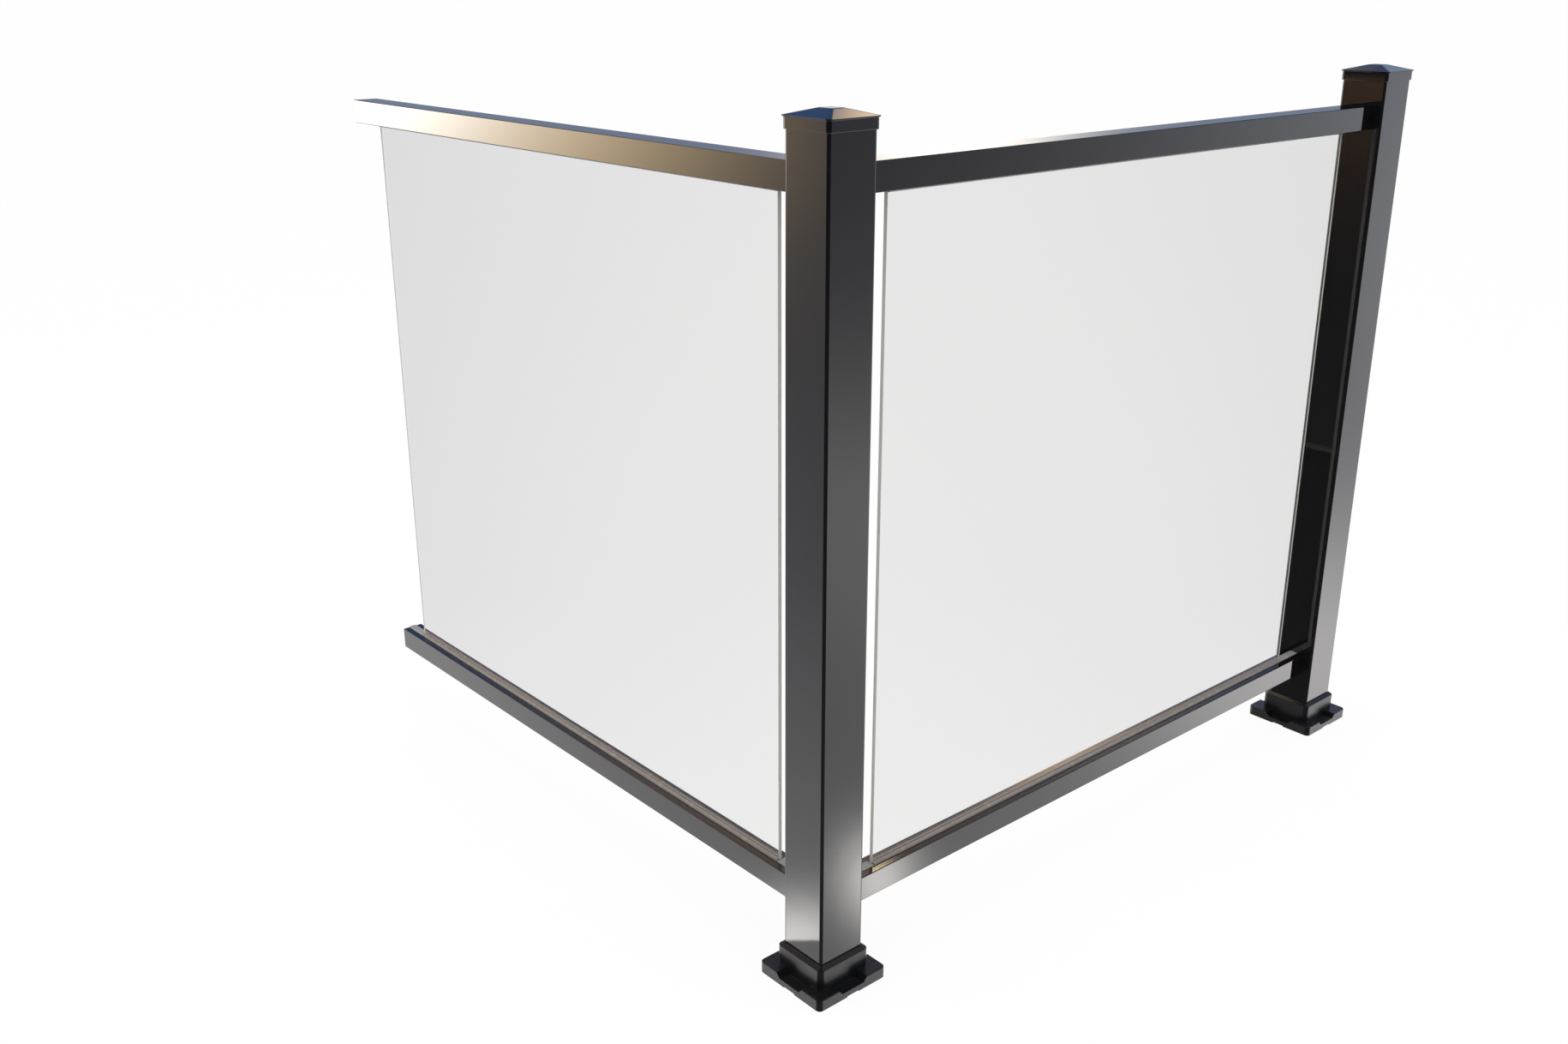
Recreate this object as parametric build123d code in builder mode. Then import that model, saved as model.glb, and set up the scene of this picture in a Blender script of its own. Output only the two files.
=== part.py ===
from build123d import *
import os

# Two bays of glass railing that meet at a corner post, in millimetres.
# The origin is on the underside of the corner post's base, on the post's axis, with +Z up.
# The right bay runs along +X to the end post. The left bay runs along +Y to free rail ends.

# Posts: square aluminium tubes
post_side = 63.5
post_wall = 2.5
post_corner_r = 3.0
post_pitch = 1003.0

# Heights from the deck, and from the top rail to the skirt of the post cap
guard_height = 927.6
bottom_gap = 86.0
cap_gap = 31.7

# Rails: hollow extrusions with a glazing slot on the side that faces the glass
top_rail_width = 34.9
top_rail_height = 31.1
bottom_rail_width = 30.8
bottom_rail_height = 30.7
rail_wall = 2.0
rail_edge_r = 0.8
slot_depth = 14.0
slot_wall = 1.6

# Glass panes
glass_thick = 5.0
glass_gap = 43.4
glass_arris = 0.4
glass_lift_room = 4.0

# Gaskets that grip the panes, and the strips that close the slots beside the panes
gasket_side = 1.7
gasket_foot = 2.0
gasket_flange = 1.7
gasket_flange_thick = 0.8
gasket_lip_rise = 3.5
gasket_lip_tip = 0.6
gasket_lip_bulge = 0.5
gasket_clearance = 0.1
gasket_glass_room = 0.05
filler_depth = 6.0
filler_crown = 1.8
filler_seam = 0.4

# Post bases: cast plates with a raised pad at each corner and a socket for the post
base_margin = 20.25
base_corner_r = 6.0
base_edge_bevel = 0.7
base_floor = 6.0
pad_height = 14.0
notch_width = 33.2
notch_flare = 5.2
notch_depth = 6.0
drain_width = 17.5
drain_height = 1.3
collar_margin = 5.75
collar_corner_r = 6.0
collar_height = 41.5
collar_bevel = 3.5
collar_rim = 0.5
socket_clearance = 0.25

# Anchor screws in the base pads, under flush caps
screw_inset = 9.0
screw_hole_r = 4.25
screw_cap_r = 7.75
screw_cap_thick = 5.0
screw_cap_clearance = 0.15
screw_cap_chamfer = 0.4

# Post caps: a skirt round the post, a flared eave and a low pyramid with a flat top
cap_wall = 1.5
cap_clearance = 0.25
cap_corner_r = 4.0
cap_skirt = 11.3
cap_hem = 0.5
cap_flare = 0.8
cap_overhang = 1.8
cap_lip = 0.9
cap_rise = 7.1
cap_flat_side = 19.0
cap_hip_r = 17.0

# Brackets in the free ends of the left rails
bracket_thick = 3.0
bracket_length = 30.0
bracket_clearance = 0.2
bracket_hole_r = 2.25
bracket_hole_spacing = 16.0

# Sizes that follow from those above
rail_start = post_side / 2
rail_length = post_pitch - post_side
glass_width = rail_length - 2 * glass_gap
slot_width = glass_thick + 2 * gasket_side + 2 * gasket_clearance
bottom_slot_z = bottom_gap + bottom_rail_height
top_slot_z = guard_height - top_rail_height
glass_low_z = bottom_slot_z - slot_depth + gasket_foot
glass_high_z = top_slot_z + slot_depth - gasket_foot - glass_lift_room
cap_z = guard_height + cap_gap
post_top_z = cap_z + cap_skirt
base_side = post_side + 2 * base_margin
collar_side = post_side + 2 * collar_margin
socket_side = post_side + 2 * socket_clearance
screw_spacing = base_side - 2 * screw_inset
cap_pocket_side = post_side + 2 * cap_clearance
cap_side = cap_pocket_side + 2 * cap_wall
eave_side = cap_side + 2 * cap_overhang

os.makedirs("parts", exist_ok=True)


def write(node, name):
    """Label a finished piece and save it under the same name."""
    node.part.label = name
    export_step(node.part, f"parts/{name}.step")


def post_tube(x):
    """Square tube that stands in the socket of its base and ends inside its cap."""
    with BuildPart() as post:
        with BuildSketch(Plane((x, 0, base_floor))):
            RectangleRounded(post_side, post_side, post_corner_r)
            Rectangle(post_side - 2 * post_wall, post_side - 2 * post_wall, mode=Mode.SUBTRACT)
        extrude(amount=post_top_z - base_floor)
    return post


def post_base(x):
    """Cast base: four pads parted by sloped notches, and a bevelled collar round the socket."""
    with BuildPart() as base:
        with BuildSketch(Plane((x, 0, 0))):
            RectangleRounded(base_side, base_side, base_corner_r)
        extrude(amount=pad_height)
        chamfer(base.faces().sort_by(Axis.Z)[-1].edges(), base_edge_bevel)

        # A flared notch over a drain gap in the middle of each side
        notch_half = notch_width / 2
        front = Plane((x, 0, 0), x_dir=(1, 0, 0), z_dir=(0, -1, 0))
        flank = Plane((x, 0, 0), x_dir=(0, 1, 0), z_dir=(1, 0, 0))
        with BuildSketch(front, flank):
            with BuildLine():
                Polyline(
                    (-notch_half, pad_height - notch_depth),
                    (notch_half, pad_height - notch_depth),
                    (notch_half + notch_flare, pad_height),
                    (-notch_half - notch_flare, pad_height),
                    close=True,
                )
            make_face()
            with Locations((0, drain_height / 2)):
                Rectangle(drain_width, drain_height)
        extrude(amount=base_side, both=True, mode=Mode.SUBTRACT)

        # Collar, bevelled down from a narrow rim
        with BuildSketch(Plane((x, 0, 0))):
            RectangleRounded(collar_side, collar_side, collar_corner_r)
        extrude(amount=collar_height)
        collar_top = base.faces().sort_by(Axis.Z)[-1]
        bevel_run = (collar_side - socket_side) / 2 - collar_rim
        chamfer(collar_top.edges(), bevel_run, collar_bevel, reference=collar_top)

        # Socket for the post
        with BuildSketch(Plane((x, 0, base_floor))):
            RectangleRounded(socket_side, socket_side, post_corner_r + socket_clearance)
        extrude(amount=collar_height, mode=Mode.SUBTRACT)

        # Anchor holes, counterbored for the screw caps
        with Locations(Plane((x, 0, pad_height))):
            with GridLocations(screw_spacing, screw_spacing, 2, 2):
                CounterBoreHole(
                    screw_hole_r, screw_cap_r + screw_cap_clearance, screw_cap_thick, depth=pad_height
                )
    return base


def screw_caps(x):
    """Flush round caps over the four anchor screws of one base."""
    with BuildPart() as caps:
        with BuildSketch(Plane((x, 0, pad_height - screw_cap_thick))):
            with GridLocations(screw_spacing, screw_spacing, 2, 2):
                Circle(screw_cap_r)
        extrude(amount=screw_cap_thick)
        chamfer(caps.faces().filter_by(Axis.Z).group_by(Axis.Z)[-1].edges(), screw_cap_chamfer)
    return caps


def post_cap(x):
    """Hollow cap that sits on the post's top edge."""
    flare_z = cap_z + cap_skirt
    lip_z = flare_z + cap_flare + cap_lip
    slope_run = (eave_side - cap_flat_side) / 2
    with BuildPart() as cap:
        # Head: flared out from the skirt to the eave
        with BuildSketch(Plane((x, 0, flare_z))):
            RectangleRounded(eave_side, eave_side, cap_corner_r + cap_overhang)
        extrude(amount=cap_flare + cap_lip + cap_rise)
        underside = cap.faces().sort_by(Axis.Z)[0]
        chamfer(underside.edges(), cap_overhang, cap_flare, reference=underside)

        # Four slopes from the eave to the flat top, with rounded hips between them
        for outward in (Vector(1, 0, 0), Vector(0, 1, 0), Vector(-1, 0, 0), Vector(0, -1, 0)):
            eave = Vector(x, 0, lip_z) + outward * (eave_side / 2)
            slope = Plane(eave, z_dir=outward * cap_rise + Vector(0, 0, slope_run))
            split(bisect_by=slope, keep=Keep.BOTTOM)
        mid_rise = lip_z + cap_rise / 2
        hips = cap.edges().filter_by_position(Axis.Z, mid_rise - cap_rise / 4, mid_rise + cap_rise / 4)
        fillet(hips + cap.faces().sort_by(Axis.Z)[-1].edges(), cap_hip_r)

        # Skirt, with the pocket for the post
        with BuildSketch(Plane((x, 0, cap_z))):
            RectangleRounded(cap_side, cap_side, cap_corner_r)
            RectangleRounded(
                cap_pocket_side, cap_pocket_side, post_corner_r + cap_clearance, mode=Mode.SUBTRACT
            )
        extrude(amount=cap_skirt)
        chamfer(cap.faces().sort_by(Axis.Z)[0].outer_wire().edges(), cap_hem)
    return cap


def across_rail(run, side, distance, slot_z, facing):
    """Plane across a rail at a distance from the corner post's axis, with y out of the glazing slot."""
    return Plane(run * distance + Vector(0, 0, slot_z), x_dir=side * facing, z_dir=run)


def rail_extrusion(plane, width, height):
    """Box section with the glazing slot let into one side."""
    with BuildPart() as rail:
        with BuildSketch(plane):
            with Locations((0, -height / 2)):
                RectangleRounded(width, height, rail_edge_r)
                Rectangle(width - 2 * rail_wall, height - 2 * rail_wall, mode=Mode.SUBTRACT)
            with Locations((0, -(slot_depth + slot_wall) / 2)):
                Rectangle(slot_width + 2 * slot_wall, slot_depth + slot_wall)
            with Locations((0, -slot_depth / 2)):
                Rectangle(slot_width, slot_depth, mode=Mode.SUBTRACT)
        extrude(amount=rail_length)
    return rail


def glazing_gasket(plane):
    """Channel that lines the slot, laps the rail and rounds up against both faces of the pane."""
    body_half = slot_width / 2 - gasket_clearance
    flange_half = slot_width / 2 + gasket_flange
    grip_half = glass_thick / 2 + gasket_glass_room
    foot = Vector(flange_half, gasket_flange_thick)
    tip = Vector(grip_half + gasket_lip_tip, gasket_lip_rise)
    outward = Vector(tip.Y - foot.Y, foot.X - tip.X).normalized()
    with BuildPart() as gasket:
        with BuildSketch(plane):
            with BuildLine():
                Polyline(
                    (0, -slot_depth),
                    (body_half, -slot_depth),
                    (body_half, 0),
                    (flange_half, 0),
                    foot,
                )
                ThreePointArc(foot, (foot + tip) / 2 + outward * gasket_lip_bulge, tip)
                Polyline(
                    tip,
                    (grip_half, gasket_lip_rise),
                    (grip_half, gasket_foot - slot_depth),
                    (0, gasket_foot - slot_depth),
                )
                mirror(about=Plane.YZ)
            make_face()
        extrude(amount=glass_width)
    return gasket


def slot_fillers(planes):
    """Crowned strips that close the slot between the pane and both ends of the rail."""
    body_half = slot_width / 2 - gasket_clearance
    flange_half = slot_width / 2 + gasket_flange
    with BuildPart() as fillers:
        with BuildSketch(*planes):
            with BuildLine():
                Polyline(
                    (-flange_half, gasket_flange_thick),
                    (-flange_half, 0),
                    (-body_half, 0),
                    (-body_half, -filler_depth),
                    (body_half, -filler_depth),
                    (body_half, 0),
                    (flange_half, 0),
                    (flange_half, gasket_flange_thick),
                )
                ThreePointArc(
                    (flange_half, gasket_flange_thick),
                    (0, filler_crown),
                    (-flange_half, gasket_flange_thick),
                )
            make_face()
        extrude(amount=glass_gap - filler_seam)
    return fillers


def glass_pane(plane):
    """Flat pane that stands on the lower gasket and reaches into the upper one."""
    with BuildPart() as pane:
        with BuildSketch(plane):
            Rectangle(glass_thick, glass_high_z - glass_low_z, align=(Align.CENTER, Align.MIN))
        extrude(amount=glass_width)
        chamfer(pane.edges().filter_by(Axis.Z), glass_arris)
    return pane


def end_bracket(plane, width, height):
    """Angle bracket inside a rail's free end, with its upright leg flush with the end."""
    leg_width = width - 2 * rail_wall - 2 * bracket_clearance
    seat = rail_wall - height
    leg_top = -slot_depth - slot_wall - bracket_clearance
    with BuildPart() as bracket:
        with BuildSketch(plane):
            with Locations((0, seat)):
                Rectangle(leg_width, leg_top - seat, align=(Align.CENTER, Align.MIN))
        extrude(amount=-bracket_thick)
        with BuildSketch(plane):
            with Locations((0, seat)):
                Rectangle(leg_width, bracket_thick, align=(Align.CENTER, Align.MIN))
        extrude(amount=-bracket_length)
        with Locations(plane):
            with Locations((0, (seat + bracket_thick + leg_top) / 2)):
                with GridLocations(bracket_hole_spacing, 1, 2, 1):
                    Hole(bracket_hole_r, depth=bracket_thick)
    return bracket


for post_name, post_x in (("corner", 0), ("end", post_pitch)):
    write(post_tube(post_x), f"{post_name}_post")
    write(post_base(post_x), f"{post_name}_post_base")
    write(screw_caps(post_x), f"{post_name}_base_screw_caps")
    write(post_cap(post_x), f"{post_name}_post_cap")

glass_start = rail_start + glass_gap
filler_starts = (rail_start, rail_start + rail_length - glass_gap + filler_seam)
bays = (
    ("right", Vector(1, 0, 0), Vector(0, 1, 0)),
    ("left", Vector(0, 1, 0), Vector(-1, 0, 0)),
)
levels = (
    ("bottom", 1, bottom_slot_z, bottom_rail_width, bottom_rail_height),
    ("top", -1, top_slot_z, top_rail_width, top_rail_height),
)
for bay, run, side in bays:
    write(glass_pane(across_rail(run, side, glass_start, glass_low_z, 1)), f"{bay}_glass_pane")
    for level, facing, slot_z, width, height in levels:
        name = f"{bay}_{level}"
        rail_plane = across_rail(run, side, rail_start, slot_z, facing)
        write(rail_extrusion(rail_plane, width, height), f"{name}_rail")
        write(glazing_gasket(across_rail(run, side, glass_start, slot_z, facing)), f"{name}_gasket")
        filler_planes = [across_rail(run, side, start, slot_z, facing) for start in filler_starts]
        write(slot_fillers(filler_planes), f"{name}_slot_fillers")
        if bay == "left":
            free_end = across_rail(run, side, rail_start + rail_length, slot_z, facing)
            write(end_bracket(free_end, width, height), f"{name}_end_bracket")
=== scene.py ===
"""Finishes and studio for a corner section of glass railing, laid out as a Blender add-on."""

import math
from collections import namedtuple

import bmesh
import bpy
from bpy.props import FloatProperty, FloatVectorProperty, PointerProperty
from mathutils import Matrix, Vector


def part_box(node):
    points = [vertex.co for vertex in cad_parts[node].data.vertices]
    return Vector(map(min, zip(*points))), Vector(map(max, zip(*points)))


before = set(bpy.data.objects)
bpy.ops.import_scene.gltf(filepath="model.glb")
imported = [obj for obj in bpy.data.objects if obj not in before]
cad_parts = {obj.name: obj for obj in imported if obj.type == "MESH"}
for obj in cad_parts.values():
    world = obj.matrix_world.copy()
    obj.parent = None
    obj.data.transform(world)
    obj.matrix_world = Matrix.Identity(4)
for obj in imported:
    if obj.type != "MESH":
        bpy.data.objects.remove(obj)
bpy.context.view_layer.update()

bl_info = {
    "name": "Glass railing finishes",
    "version": (1, 0, 0),
    "blender": (4, 5, 0),
    "location": "3D View > Sidebar > Railing",
    "description": "Coated metal, glass and gasket finishes for a glass railing, with its studio",
    "category": "3D View",
}

POSTS = ("corner", "end")
BAYS = ("right", "left")
LEVELS = ("bottom", "top")

# Soft lights that only reflections show, by direction in degrees. The bearing is from +Y towards +X, the
# rise is above the horizon, and each light fades over its width and height. A light with a foot ends
# sharply at that rise, left of that bearing.
Glow = namedtuple("Glow", "bearing rise width height colour strength foot", defaults=(None,))
WHITE = (1.0, 1.0, 1.0)
AMBER = (1.0, 0.73, 0.40)
CREAM = (1.0, 0.88, 0.72)
PALE = (1.0, 0.97, 0.94)
COAT_GLOWS = (
    Glow(-32.0, -4.5, 5.2, 3.85, AMBER, 3.5),
    Glow(-25.0, -4.0, 4.0, 2.5, WHITE, 7.0),
    Glow(-24.0, -23.0, 9.0, 7.0, WHITE, 0.7),
    Glow(-41.3, -35.2, 2.0, 1.0, PALE, 3.9, (-40.6, -35.25)),
    Glow(135.1, -33.0, 1.15, 1.2, PALE, 3.7),
    Glow(120.5, -23.3, 5.5, 3.5, PALE, 1.75),
    Glow(128.0, -29.0, 6.0, 4.0, PALE, 0.15),
    Glow(112.0, -8.0, 10.0, 10.0, (0.96, 0.98, 1.05), 0.95),
    Glow(137.0, -19.8, 8.0, 4.0, PALE, 0.58),
    Glow(46.8, 6.0, 2.8, 4.0, CREAM, 2.3),
    Glow(52.0, 26.5, 1.8, 2.5, (1.0, 0.71, 0.38), 3.7),
    Glow(42.8, 32.8, 1.6, 1.2, (1.0, 0.6, 0.36), 1.2),
    Glow(70.0, 15.0, 5.0, 5.0, (0.9, 1.0, 1.0), 0.35),
    Glow(-28.0, 22.0, 7.0, 8.0, (1.0, 0.66, 0.36), 2.0),
    Glow(-12.0, 64.0, 12.0, 7.0, (1.0, 0.60, 0.28), 0.5),
    Glow(3.0, 47.0, 6.0, 5.0, (1.0, 0.84, 0.60), 9.0),
    Glow(84.0, 47.0, 14.0, 6.0, (1.0, 0.88, 0.72), 3.0),
)
PANE_GLOWS = (
    Glow(-60.0, -1.0, 8.0, 3.5, (1.0, 0.55, 0.22), 0.5),
    Glow(40.0, 31.0, 9.0, 3.5, (1.0, 0.62, 0.2), 0.65),
    Glow(55.0, 27.5, 3.0, 2.5, (1.0, 0.75, 0.4), 0.6),
    Glow(44.8, 32.4, 0.45, 1.0, (1.0, 0.80, 0.46), 6.0),
)
# Colour of the room behind those lights, by rise.
ROOM = (
    (-90.0, (0.90, 0.90, 0.92)),
    (-37.3, (0.80, 0.80, 0.82)),
    (-35.0, (0.85, 0.84, 0.85)),
    (-33.0, (0.93, 0.92, 0.93)),
    (-28.6, (0.68, 0.68, 0.70)),
    (-22.0, (0.40, 0.40, 0.42)),
    (-12.0, (0.30, 0.29, 0.31)),
    (-6.0, (0.22, 0.22, 0.25)),
    (5.0, (0.26, 0.31, 0.43)),
    (25.0, (0.09, 0.18, 0.42)),
    (36.0, (0.05, 0.07, 0.15)),
    (55.0, (0.10, 0.08, 0.06)),
    (90.0, (0.20, 0.21, 0.24)),
)
# The room is dark to the left of the first bearing and to the right of the last.
DARK_LEFT = (-62.0, -44.0)
DARK_RIGHT = (140.0, 160.0)
DARK_SHARE = 0.12
FOOT_FADE = 0.08
SIDE_FADE = 0.8
EDGE_SAMPLES = 6
BLACK = (0.0, 0.0, 0.0)
LOWEST_RISE = -90.0
RISE_SPAN = 180.0

# Detail of each noise.
MOTTLE_DETAIL = 3.0
FLOW_DETAIL = 0.0
GRIND_DETAIL = 2.0
BLOOM_DETAIL = 3.0
GRAIN_DETAIL = 1.0
LINE_DETAIL = 2.0
# Share of a finish's own colour at the other end of its noise.
MOTTLE_SHARE = 1.6
GRIND_SHARE = 0.8
BLOOM_SHARE = 0.8
LINE_SHARE = 0.75
# Roughness where a noise is 0, and what it gains where the noise is 1. The coating's are shares.
COAT_RANGE = (0.8, 0.4)
GRIND_RANGE = (0.5, 0.2)
VINYL_RANGE = (0.2, 0.12)
LINE_RANGE = (0.3, 0.2)
GRAIN_STRENGTH = 0.4
LINE_SCALE = 2500.0
LINE_STRETCH = (1.0, 0.02, 1.0)
END_FACE_COSINE = 0.5
LIT_THROUGH_SHARE = 0.5

FLOOR_SEGMENTS = 96
LAMP_SIZE = 2.0
LAMP_PLACE = (0.0, 0.0, 3.0)
SENSOR_WIDTH = 36.0


class Wire:
    """An output socket. Arithmetic on it adds Math nodes to its tree."""

    def __init__(self, tree, socket):
        self.tree = tree
        self.socket = socket

    def math(self, operation, *terms):
        return add_node(self.tree, "ShaderNodeMath", {"operation": operation}, dict(enumerate(terms)))

    def __add__(self, other):
        return self.math("ADD", self, other)

    def __sub__(self, other):
        return self.math("SUBTRACT", self, other)

    def __mul__(self, other):
        return self.math("MULTIPLY", self, other)

    def __truediv__(self, other):
        return self.math("DIVIDE", self, other)

    def __rsub__(self, other):
        return self.math("SUBTRACT", other, self)

    __radd__ = __add__
    __rmul__ = __mul__


def add_node(tree, kind, settings=None, inputs=None, output=0):
    """Add one node: its settings first, then the values or wires of its sockets."""
    node = tree.nodes.new(kind)
    for name, value in (settings or {}).items():
        if name == "stops":
            set_stops(node.color_ramp, value)
        else:
            setattr(node, name, value)
    for name, value in (inputs or {}).items():
        if isinstance(value, Wire):
            tree.links.new(value.socket, node.inputs[name])
        else:
            node.inputs[name].default_value = value
    return Wire(tree, node.outputs[output])


def set_stops(ramp, stops):
    """Give a colour ramp its (position, colour) stops."""
    while len(ramp.elements) < len(stops):
        ramp.elements.new(1.0)
    for element, (position, colour) in zip(ramp.elements, stops):
        element.position = position
        element.color = (*colour, 1.0)


def mix_colour(tree, factor, first, second):
    """Mix two colours by a factor."""
    inputs = {0: factor, 6: first, 7: second}
    return add_node(tree, "ShaderNodeMix", {"data_type": "RGBA"}, inputs, 2)


def opaque(colour, share=1.0):
    """A colour, or a share of it, with full alpha."""
    return (*(share * channel for channel in colour), 1.0)


def ranged(value, limits):
    """A value between 0 and 1, laid over a range given as its start and its width."""
    start, width = limits
    return start + width * value


def new_material(name):
    """An empty node material and its tree."""
    material = bpy.data.materials.new(name)
    material.use_nodes = True
    material.node_tree.nodes.clear()
    return material, material.node_tree


def finish_material(tree, shader):
    """Wire a shader to the material's output."""
    add_output(tree, "ShaderNodeOutputMaterial", shader)


def add_output(tree, kind, shader):
    """Add an output node that shows this shader."""
    output = tree.nodes.new(kind)
    tree.links.new(shader.socket, output.inputs["Surface"])


def object_place(tree):
    """Object coordinates, which for these pieces are metres in the railing's own frame."""
    return add_node(tree, "ShaderNodeTexCoord", output="Object")


def noise(tree, place, scale, detail):
    """Noise with this many lumps a metre."""
    inputs = {"Vector": place, "Scale": scale, "Detail": detail}
    return add_node(tree, "ShaderNodeTexNoise", {"noise_dimensions": "3D"}, inputs, "Fac")


def light_path(tree, output):
    """What kind of ray is being followed."""
    return add_node(tree, "ShaderNodeLightPath", output=output)


def straight_view(tree):
    """1 for what the camera sees directly or through glass, 0 for what something reflects."""
    camera = light_path(tree, "Is Camera Ray")
    passed = light_path(tree, "Is Transmission Ray")
    return camera.math("MAXIMUM", camera, passed * (1.0 - light_path(tree, "Glossy Depth")))


def dress(names, material):
    """Give CAD nodes a material."""
    for name in names:
        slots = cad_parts[name].material_slots
        if not slots:
            raise RuntimeError(f"{name} has no material slot")
        for slot in slots:
            slot.material = material


def coated_metal(name, finish, roughness, softening):
    """Gloss black coating: near-black with a faint mottle, a slow flow in the gloss, and softened edges."""
    material, tree = new_material(name)
    place = object_place(tree)
    mottle = noise(tree, place, finish.mottle_scale, MOTTLE_DETAIL)
    flow = noise(tree, place, finish.flow_scale, FLOW_DETAIL)
    dark = opaque(finish.coat_colour)
    light = opaque(finish.coat_colour, MOTTLE_SHARE)
    rounded = add_node(tree, "ShaderNodeBevel", {"samples": EDGE_SAMPLES}, {"Radius": softening})
    bump = add_node(
        tree,
        "ShaderNodeBump",
        None,
        {"Strength": 1.0, "Distance": finish.flow_depth, "Height": flow, "Normal": rounded},
        "Normal",
    )
    shader = add_node(
        tree,
        "ShaderNodeBsdfPrincipled",
        None,
        {
            "Base Color": mix_colour(tree, mottle, dark, light),
            "Roughness": roughness * ranged(mottle, COAT_RANGE),
            "IOR": finish.coat_index,
            "Normal": bump,
        },
    )
    finish_material(tree, shader)
    return material


def clear_glass(bay, finish, edge_axis):
    """Clear sheet that lets the lamp through, with ground end faces along edge_axis and a painted tan band
    along its foot, which stands in for the warm-lit gasket seen through the glass there.
    """
    material, tree = new_material(f"clear_glass_{bay}")
    facing = add_node(tree, "ShaderNodeNewGeometry", output="True Normal")
    along = add_node(tree, "ShaderNodeSeparateXYZ", None, {"Vector": facing}, edge_axis)
    end_face = along.math("GREATER_THAN", along.math("ABSOLUTE", along), END_FACE_COSINE)
    place = object_place(tree)
    height = add_node(tree, "ShaderNodeSeparateXYZ", None, {"Vector": place}, "Z")
    grind = noise(tree, place, finish.grind_scale, GRIND_DETAIL)
    pale = opaque(finish.edge_tint)
    dull = opaque(finish.edge_tint, GRIND_SHARE)
    rough = mix_colour(tree, grind, dull, pale)
    # Tan of the painted band along the foot, a painted stand-in for the warm-lit gasket seen through the
    # glass.
    painted = opaque(finish.painted_foot_tint)
    clear = add_node(
        tree,
        "ShaderNodeBsdfPrincipled",
        None,
        {
            "Base Color": opaque(finish.glass_tint),
            "Roughness": 0.0,
            "IOR": finish.glass_index,
            "Transmission Weight": 1.0,
        },
    )
    # Pale ground colour on the end faces, the painted band's tan on the other faces.
    cloudy = mix_colour(tree, end_face, painted, rough)
    matt = add_node(
        tree,
        "ShaderNodeBsdfPrincipled",
        None,
        {"Base Color": cloudy, "Roughness": ranged(grind, GRIND_RANGE)},
    )
    lit_through = add_node(tree, "ShaderNodeBsdfTranslucent", None, {"Color": pale})
    share = LIT_THROUGH_SHARE * end_face
    # This matt shader shows the ground end faces and also carries the painted band along the foot.
    ground = add_node(tree, "ShaderNodeMixShader", None, {0: share, 1: matt, 2: lit_through})
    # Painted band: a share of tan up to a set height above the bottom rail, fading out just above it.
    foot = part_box(f"{bay}_bottom_rail")[1][2] + finish.painted_band_height
    painted_foot_band = ramp_between(tree, height, foot, foot + finish.painted_band_fade, finish.painted_foot_share, 0.0)
    # The sheet turns matt where the painted band lies and on the ground end faces, whose haze is real.
    painted_band_and_grind = painted_foot_band.math("MAXIMUM", painted_foot_band, finish.edge_haze * end_face)
    sheet = add_node(tree, "ShaderNodeMixShader", None, {0: painted_band_and_grind, 1: clear, 2: ground})
    shadow = light_path(tree, "Is Shadow Ray")
    through = add_node(tree, "ShaderNodeBsdfTransparent", None, {"Color": opaque(finish.glass_tint)})
    finish_material(tree, add_node(tree, "ShaderNodeMixShader", None, {0: shadow, 1: sheet, 2: through}))
    return material


def gasket_vinyl(name, finish, colour):
    """Glossy vinyl with a cloudy bloom and a fine extruded grain."""
    material, tree = new_material(name)
    place = object_place(tree)
    bloom = noise(tree, place, finish.bloom_scale, BLOOM_DETAIL)
    grain = noise(tree, place, finish.grain_scale, GRAIN_DETAIL)
    pale = opaque(colour)
    dark = opaque(colour, BLOOM_SHARE)
    bump = add_node(
        tree,
        "ShaderNodeBump",
        None,
        {"Strength": GRAIN_STRENGTH, "Distance": finish.grain_depth, "Height": grain},
        "Normal",
    )
    shader = add_node(
        tree,
        "ShaderNodeBsdfPrincipled",
        None,
        {
            "Base Color": mix_colour(tree, bloom, dark, pale),
            "Roughness": ranged(bloom, VINYL_RANGE),
            "IOR": finish.vinyl_index,
            "Normal": bump,
        },
    )
    finish_material(tree, shader)
    return material


def bare_aluminium(finish):
    """Mill-finish aluminium with fine drawn lines."""
    material, tree = new_material("bare_aluminium")
    stretched = add_node(
        tree, "ShaderNodeMapping", None, {"Vector": object_place(tree), "Scale": LINE_STRETCH}
    )
    lines = noise(tree, stretched, LINE_SCALE, LINE_DETAIL)
    bright = opaque(finish.bracket_colour)
    dull = opaque(finish.bracket_colour, LINE_SHARE)
    shader = add_node(
        tree,
        "ShaderNodeBsdfPrincipled",
        None,
        {
            "Base Color": mix_colour(tree, lines, dull, bright),
            "Metallic": 1.0,
            "Roughness": ranged(lines, LINE_RANGE),
        },
    )
    finish_material(tree, shader)
    return material


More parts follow.
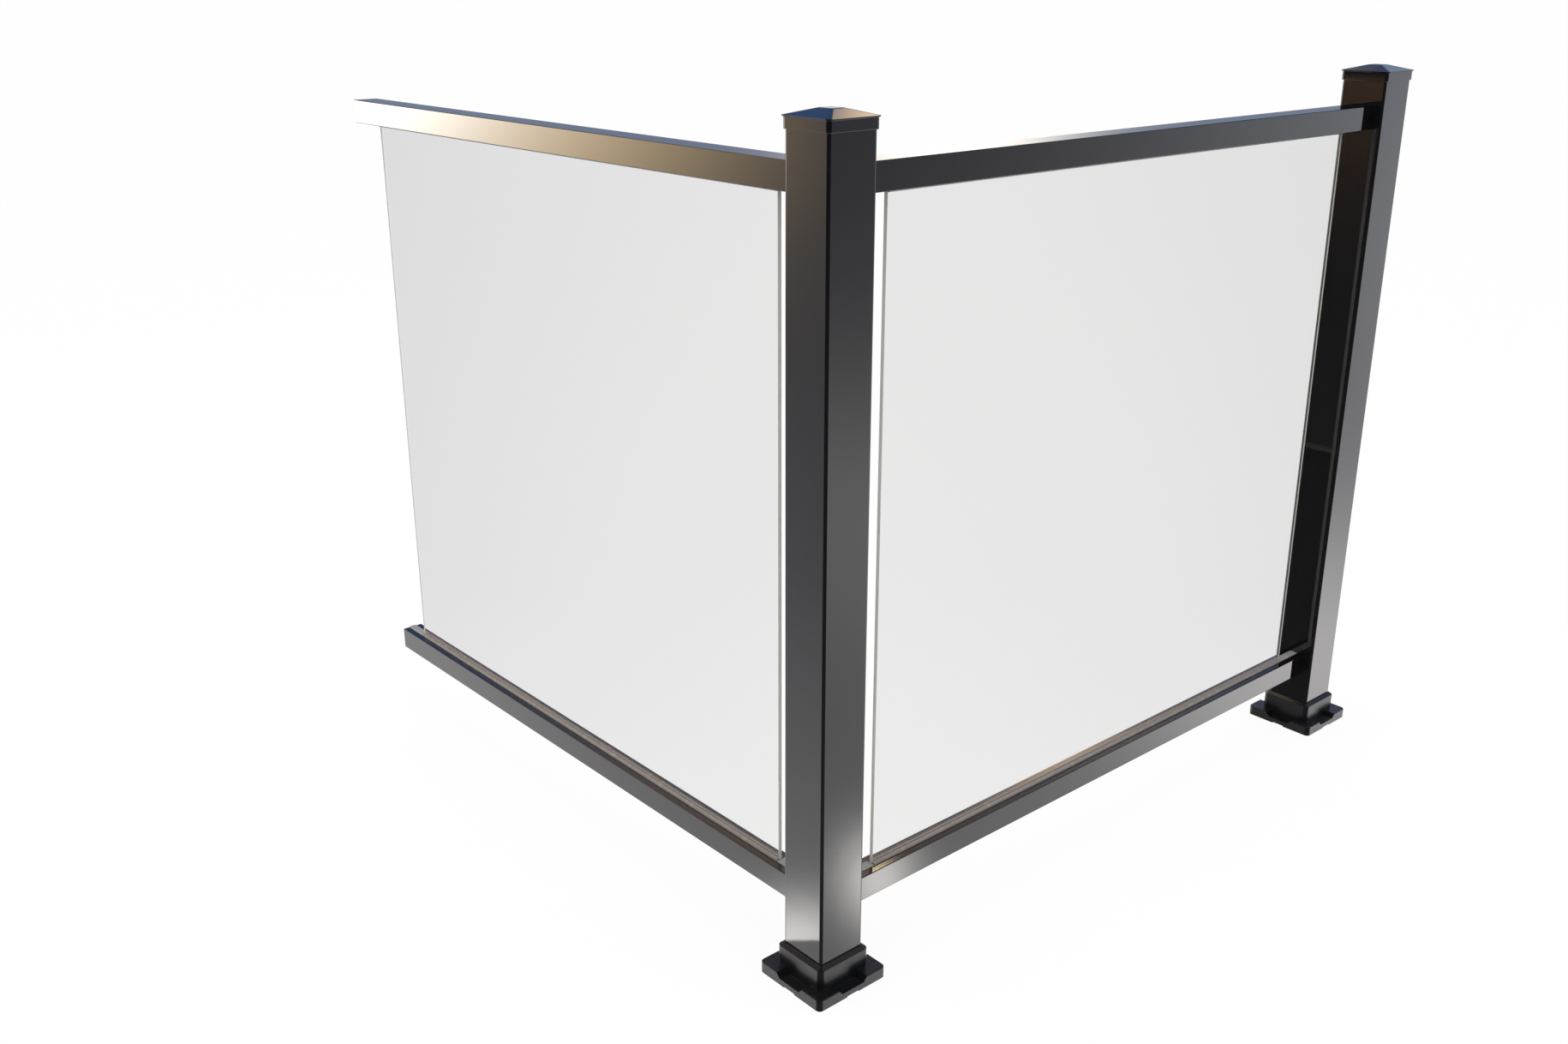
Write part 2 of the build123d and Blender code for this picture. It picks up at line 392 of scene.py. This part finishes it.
class RailingFinish(bpy.types.PropertyGroup):
    """Colours and surface sizes of the railing's finishes."""

    coat_colour: FloatVectorProperty(
        name="Coating", description="Colour of the coated metal", subtype="COLOR",
        default=(0.0032, 0.0032, 0.0036), min=0.0, max=1.0,
    )
    coat_roughness: FloatProperty(
        name="Coating roughness", description="How soft reflections in the coating are",
        subtype="FACTOR", default=0.02, min=0.0, max=1.0,
    )
    coat_index: FloatProperty(
        name="Coating index", description="Refractive index of the coating, which sets its gloss",
        default=1.85, min=1.0, max=3.0,
    )
    cap_roughness: FloatProperty(
        name="Cap roughness", description="How soft reflections in the post caps are",
        subtype="FACTOR", default=0.06, min=0.0, max=1.0,
    )
    base_roughness: FloatProperty(
        name="Base roughness", description="How soft reflections in the cast bases are",
        subtype="FACTOR", default=0.3, min=0.0, max=1.0,
    )
    tube_softening: FloatProperty(
        name="Tube edges", description="Rounding of the coating over the edges of posts and rails",
        subtype="DISTANCE", default=0.0003, min=0.0, precision=5,
    )
    cast_softening: FloatProperty(
        name="Cast edges", description="Rounding of the coating over the edges of bases and caps",
        subtype="DISTANCE", default=0.0006, min=0.0, precision=5,
    )
    flow_scale: FloatProperty(
        name="Flow scale", description="Waves in a metre of the coating", default=35.0, min=1.0,
    )
    flow_depth: FloatProperty(
        name="Flow depth", description="Height of the coating's waves", subtype="DISTANCE",
        default=0.000012, min=0.0, precision=6,
    )
    mottle_scale: FloatProperty(
        name="Mottle scale", description="Lumps in a metre of the coating's mottle", default=90.0, min=1.0,
    )
    glass_tint: FloatVectorProperty(
        name="Glass", description="Colour of light through a pane", subtype="COLOR",
        default=(0.86, 0.86, 0.855), min=0.0, max=1.0,
    )
    glass_index: FloatProperty(
        name="Glass index", description="Refractive index of the glass", default=1.5, min=1.0, max=3.0,
    )
    edge_tint: FloatVectorProperty(
        name="Glass edge", description="Colour of the panes' end faces", subtype="COLOR",
        default=(0.92, 0.91, 0.84), min=0.0, max=1.0,
    )
    edge_haze: FloatProperty(
        name="Edge grind", description="How cloudy the panes' ground end faces are", subtype="FACTOR",
        default=0.95, min=0.0, max=1.0,
    )
    # These four settings shape the painted tan band along each pane's foot, which stands in for the
    # warm-lit gasket seen through the glass.
    painted_foot_tint: FloatVectorProperty(
        name="Foot tint", description="Colour of the haze along a pane's foot", subtype="COLOR",
        default=(0.74, 0.61, 0.52), min=0.0, max=1.0,
    )
    painted_foot_share: FloatProperty(
        name="Foot haze", description="How hazy each face of a pane is along its foot", subtype="FACTOR",
        default=0.2, min=0.0, max=1.0,
    )
    painted_band_height: FloatProperty(
        name="Haze height", description="Height of the haze above the bottom rail", subtype="DISTANCE",
        default=0.0085, min=0.0, precision=4,
    )
    painted_band_fade: FloatProperty(
        name="Haze fade", description="Height over which the haze ends", subtype="DISTANCE",
        default=0.0015, min=0.0, precision=4,
    )
    grind_scale: FloatProperty(
        name="Grind scale", description="Lumps in a metre of the ground end faces", default=700.0, min=1.0,
    )
    gasket_colour: FloatVectorProperty(
        name="Gasket", description="Colour of the gaskets", subtype="COLOR",
        default=(0.26, 0.24, 0.215), min=0.0, max=1.0,
    )
    filler_colour: FloatVectorProperty(
        name="Fillers", description="Colour of the slot fillers", subtype="COLOR",
        default=(0.31, 0.295, 0.28), min=0.0, max=1.0,
    )
    vinyl_index: FloatProperty(
        name="Vinyl index", description="Refractive index of the vinyl, which sets its gloss",
        default=1.75, min=1.0, max=3.0,
    )
    bloom_scale: FloatProperty(
        name="Bloom scale", description="Clouds in a metre of the vinyl", default=60.0, min=1.0,
    )
    grain_scale: FloatProperty(
        name="Grain scale", description="Lumps in a metre of the vinyl's grain", default=1800.0, min=1.0,
    )
    grain_depth: FloatProperty(
        name="Grain depth", description="Height of the vinyl's grain", subtype="DISTANCE",
        default=0.00002, min=0.0, precision=6,
    )
    bracket_colour: FloatVectorProperty(
        name="Bracket", description="Colour of the bare brackets", subtype="COLOR",
        default=(0.62, 0.62, 0.63), min=0.0, max=1.0,
    )


class RailingStage(bpy.types.PropertyGroup):
    """Floor, light and camera."""

    floor_radius: FloatProperty(
        name="Floor radius", description="Radius of the floor", unit="LENGTH", default=60.0, min=1.0,
    )
    floor_colour: FloatVectorProperty(
        name="Floor", description="Colour of the floor", subtype="COLOR",
        default=(0.95, 0.95, 0.95), min=0.0, max=1.0,
    )
    floor_white: FloatProperty(
        name="Floor white", description="Share of plain white in the floor, which keeps its shadow faint",
        subtype="FACTOR", default=0.92, min=0.0, max=1.0,
    )
    dome_strength: FloatProperty(
        name="Dome", description="Strength of the even light from all round", default=0.95, min=0.0,
    )
    lamp_power: FloatProperty(
        name="Lamp", description="Power of the soft lamp overhead", unit="POWER", default=30.0, min=0.0,
    )
    camera_place: FloatVectorProperty(
        name="Camera", description="Place of the camera", subtype="XYZ", unit="LENGTH",
        default=(-1.0199, -1.1094, 1.1082),
    )
    camera_bearing: FloatProperty(
        name="Bearing", description="Bearing of the view from +Y towards +X", subtype="ANGLE",
        default=math.radians(40.885),
    )
    camera_dip: FloatProperty(
        name="Dip", description="How far the view points below the horizon", subtype="ANGLE",
        default=math.radians(19.992),
    )
    camera_lens: FloatProperty(
        name="Lens", description="Focal length for the sensor's width", subtype="DISTANCE_CAMERA",
        default=35.28, min=1.0,
    )


class RAILING_OT_posts(bpy.types.Operator):
    """Coat the posts"""

    bl_idname = "railing.posts"
    bl_label = "Posts"

    def execute(self, context):
        finish = context.scene.railing_finish
        coat = coated_metal("black_coated_posts", finish, finish.coat_roughness, finish.tube_softening)
        dress([f"{post}_post" for post in POSTS], coat)
        return {"FINISHED"}


class RAILING_OT_bases(bpy.types.Operator):
    """Coat the cast bases, whose gloss is softer than the tubes'"""

    bl_idname = "railing.bases"
    bl_label = "Post bases"

    def execute(self, context):
        finish = context.scene.railing_finish
        coat = coated_metal("black_coated_bases", finish, finish.base_roughness, finish.cast_softening)
        dress([f"{post}_post_base" for post in POSTS], coat)
        return {"FINISHED"}


class RAILING_OT_caps(bpy.types.Operator):
    """Coat the post caps"""

    bl_idname = "railing.caps"
    bl_label = "Post caps"

    def execute(self, context):
        finish = context.scene.railing_finish
        coat = coated_metal("black_coated_caps", finish, finish.cap_roughness, finish.cast_softening)
        dress([f"{post}_post_cap" for post in POSTS], coat)
        return {"FINISHED"}


class RAILING_OT_screw_caps(bpy.types.Operator):
    """Finish the plastic caps over the anchor screws"""

    bl_idname = "railing.screw_caps"
    bl_label = "Screw caps"

    def execute(self, context):
        finish = context.scene.railing_finish
        plastic = coated_metal("black_plastic_caps", finish, finish.base_roughness, finish.tube_softening)
        dress([f"{post}_base_screw_caps" for post in POSTS], plastic)
        return {"FINISHED"}


class RAILING_OT_rails(bpy.types.Operator):
    """Coat the rails"""

    bl_idname = "railing.rails"
    bl_label = "Rails"

    def execute(self, context):
        finish = context.scene.railing_finish
        coat = coated_metal("black_coated_rails", finish, finish.coat_roughness, finish.tube_softening)
        dress([f"{bay}_{level}_rail" for bay in BAYS for level in LEVELS], coat)
        return {"FINISHED"}


class RAILING_OT_glass(bpy.types.Operator):
    """Finish the glass panes"""

    bl_idname = "railing.glass"
    bl_label = "Glass panes"

    def execute(self, context):
        for bay, edge_axis in zip(BAYS, "XY"):
            dress([f"{bay}_glass_pane"], clear_glass(bay, context.scene.railing_finish, edge_axis))
        return {"FINISHED"}


class RAILING_OT_gaskets(bpy.types.Operator):
    """Finish the gaskets and the fillers beside the panes"""

    bl_idname = "railing.gaskets"
    bl_label = "Gaskets"

    def execute(self, context):
        finish = context.scene.railing_finish
        lips = gasket_vinyl("gasket_vinyl", finish, finish.gasket_colour)
        strips = gasket_vinyl("filler_vinyl", finish, finish.filler_colour)
        for bay in BAYS:
            for level in LEVELS:
                dress([f"{bay}_{level}_gasket"], lips)
                dress([f"{bay}_{level}_slot_fillers"], strips)
        return {"FINISHED"}


class RAILING_OT_brackets(bpy.types.Operator):
    """Finish the brackets in the free rail ends"""

    bl_idname = "railing.brackets"
    bl_label = "End brackets"

    def execute(self, context):
        metal = bare_aluminium(context.scene.railing_finish)
        dress([f"left_{level}_end_bracket" for level in LEVELS], metal)
        return {"FINISHED"}


def add_floor(stage):
    """Pale floor that shows as white, but for a faint shadow."""
    mesh = bpy.data.meshes.new("floor")
    floor = bpy.data.objects.new("floor", mesh)
    bpy.context.scene.collection.objects.link(floor)
    shape = bmesh.new()
    bmesh.ops.create_circle(shape, cap_ends=True, segments=FLOOR_SEGMENTS, radius=stage.floor_radius)
    shape.to_mesh(mesh)
    shape.free()
    material, tree = new_material("floor")
    matt = add_node(tree, "ShaderNodeBsdfDiffuse", None, {"Color": opaque(stage.floor_colour)})
    white = add_node(tree, "ShaderNodeEmission", None, {"Color": opaque(WHITE), "Strength": 1.0})
    seen = stage.floor_white * straight_view(tree)
    shader = add_node(tree, "ShaderNodeMixShader", None, {0: seen, 1: matt, 2: white})
    absent = light_path(tree, "Is Transmission Ray") * light_path(tree, "Glossy Depth")
    nothing = add_node(tree, "ShaderNodeBsdfTransparent")
    finish_material(tree, add_node(tree, "ShaderNodeMixShader", None, {0: absent, 1: shader, 2: nothing}))
    mesh.materials.append(material)
    floor.visible_glossy = False


def add_glows(tree, room, bearing, rise, glows):
    """Add soft lights to the colour of the room."""
    for glow in glows:
        across = (bearing - glow.bearing) / glow.width
        along = (rise - glow.rise) / glow.height
        spread = across * across + along * along
        light = spread.math("EXPONENT", -0.5 * spread) * glow.strength
        if glow.foot is not None:
            side, foot = glow.foot
            clear = ramp_between(tree, rise, foot, foot + FOOT_FADE)
            beside = ramp_between(tree, bearing, side, side + SIDE_FADE)
            light = light * clear.math("MAXIMUM", clear, beside)
        room = add_node(
            tree, "ShaderNodeVectorMath", {"operation": "MULTIPLY_ADD"}, {0: glow.colour, 1: light, 2: room}
        )
    return room


def ramp_between(tree, value, start, end, first=0.0, last=1.0):
    """A smooth step from first to last as a value goes from start to end."""
    inputs = {"Value": value, "From Min": start, "From Max": end, "To Min": first, "To Max": last}
    return add_node(tree, "ShaderNodeMapRange", {"interpolation_type": "SMOOTHSTEP"}, inputs)


def add_world(stage):
    """White background, even light from all round, and the room that reflections show."""
    world = bpy.data.worlds.new("studio")
    bpy.context.scene.world = world
    world.use_nodes = True
    tree = world.node_tree
    tree.nodes.clear()
    direction = add_node(tree, "ShaderNodeTexCoord", output="Generated")
    east, north, up = (
        add_node(tree, "ShaderNodeSeparateXYZ", None, {"Vector": direction}, axis) for axis in "XYZ"
    )
    bearing = east.math("ARCTAN2", east, north) * math.degrees(1.0)
    rise = up.math("ARCSINE", up) * math.degrees(1.0)
    stops = [((level - LOWEST_RISE) / RISE_SPAN, colour) for level, colour in ROOM]
    position = (rise - LOWEST_RISE) / RISE_SPAN
    room = add_node(tree, "ShaderNodeValToRGB", {"stops": stops}, {"Fac": position}, "Color")
    left = ramp_between(tree, bearing, *DARK_LEFT, DARK_SHARE, 1.0)
    right = ramp_between(tree, bearing, *DARK_RIGHT, 1.0, DARK_SHARE)
    room = mix_colour(tree, left * right, opaque(BLACK), room)
    in_coating = add_glows(tree, room, bearing, rise, COAT_GLOWS)
    by_panes = add_glows(tree, room, bearing, rise, PANE_GLOWS)
    mirrored = mix_colour(tree, light_path(tree, "Is Singular Ray"), in_coating, by_panes)
    even = opaque([stage.dome_strength] * 3)
    colour = mix_colour(tree, light_path(tree, "Is Glossy Ray"), even, mirrored)
    colour = mix_colour(tree, straight_view(tree), colour, opaque(WHITE))
    shown = add_node(tree, "ShaderNodeBackground", None, {"Color": colour})
    add_output(tree, "ShaderNodeOutputWorld", shown)


def add_lamp(stage):
    """Large soft lamp overhead."""
    lamp = bpy.data.lights.new("overhead", "AREA")
    lamp.shape = "DISK"
    lamp.size = LAMP_SIZE
    lamp.energy = stage.lamp_power
    holder = bpy.data.objects.new("overhead", lamp)
    holder.location = LAMP_PLACE
    holder.visible_glossy = False
    bpy.context.scene.collection.objects.link(holder)


def add_camera(stage):
    """Camera at the front of the corner."""
    lens = bpy.data.cameras.new("camera")
    lens.sensor_fit = "HORIZONTAL"
    lens.sensor_width = SENSOR_WIDTH
    lens.lens = stage.camera_lens
    camera = bpy.data.objects.new("camera", lens)
    camera.location = stage.camera_place
    camera.rotation_euler = (math.radians(90.0) - stage.camera_dip, 0.0, -stage.camera_bearing)
    bpy.context.scene.collection.objects.link(camera)
    bpy.context.scene.camera = camera


class RAILING_OT_stage(bpy.types.Operator):
    """Set up the floor, the light and the camera"""

    bl_idname = "railing.stage"
    bl_label = "Stage"

    def execute(self, context):
        stage = context.scene.railing_stage
        add_floor(stage)
        add_world(stage)
        add_lamp(stage)
        add_camera(stage)
        context.scene.view_settings.view_transform = "Standard"
        return {"FINISHED"}


class RAILING_PT_sidebar(bpy.types.Panel):
    """Lists the railing's finishes"""

    bl_idname = "RAILING_PT_sidebar"
    bl_label = "Glass railing"
    bl_space_type = "VIEW_3D"
    bl_region_type = "UI"
    bl_category = "Railing"

    def draw(self, context):
        layout = self.layout
        for group in (context.scene.railing_finish, context.scene.railing_stage):
            for name in group.__annotations__:
                layout.prop(group, name)
        for operator in OPERATORS:
            layout.operator(operator.bl_idname)


OPERATORS = (
    RAILING_OT_posts,
    RAILING_OT_bases,
    RAILING_OT_caps,
    RAILING_OT_screw_caps,
    RAILING_OT_rails,
    RAILING_OT_glass,
    RAILING_OT_gaskets,
    RAILING_OT_brackets,
    RAILING_OT_stage,
)
CLASSES = (RailingFinish, RailingStage, *OPERATORS, RAILING_PT_sidebar)


def register():
    for cls in CLASSES:
        bpy.utils.register_class(cls)
    bpy.types.Scene.railing_finish = PointerProperty(type=RailingFinish)
    bpy.types.Scene.railing_stage = PointerProperty(type=RailingStage)


def unregister():
    del bpy.types.Scene.railing_stage
    del bpy.types.Scene.railing_finish
    for cls in reversed(CLASSES):
        bpy.utils.unregister_class(cls)


def main():
    """Build every finish and the stage."""
    register()
    bpy.ops.railing.posts()
    bpy.ops.railing.bases()
    bpy.ops.railing.caps()
    bpy.ops.railing.screw_caps()
    bpy.ops.railing.rails()
    bpy.ops.railing.glass()
    bpy.ops.railing.gaskets()
    bpy.ops.railing.brackets()
    bpy.ops.railing.stage()


if __name__ == "__main__":
    main()
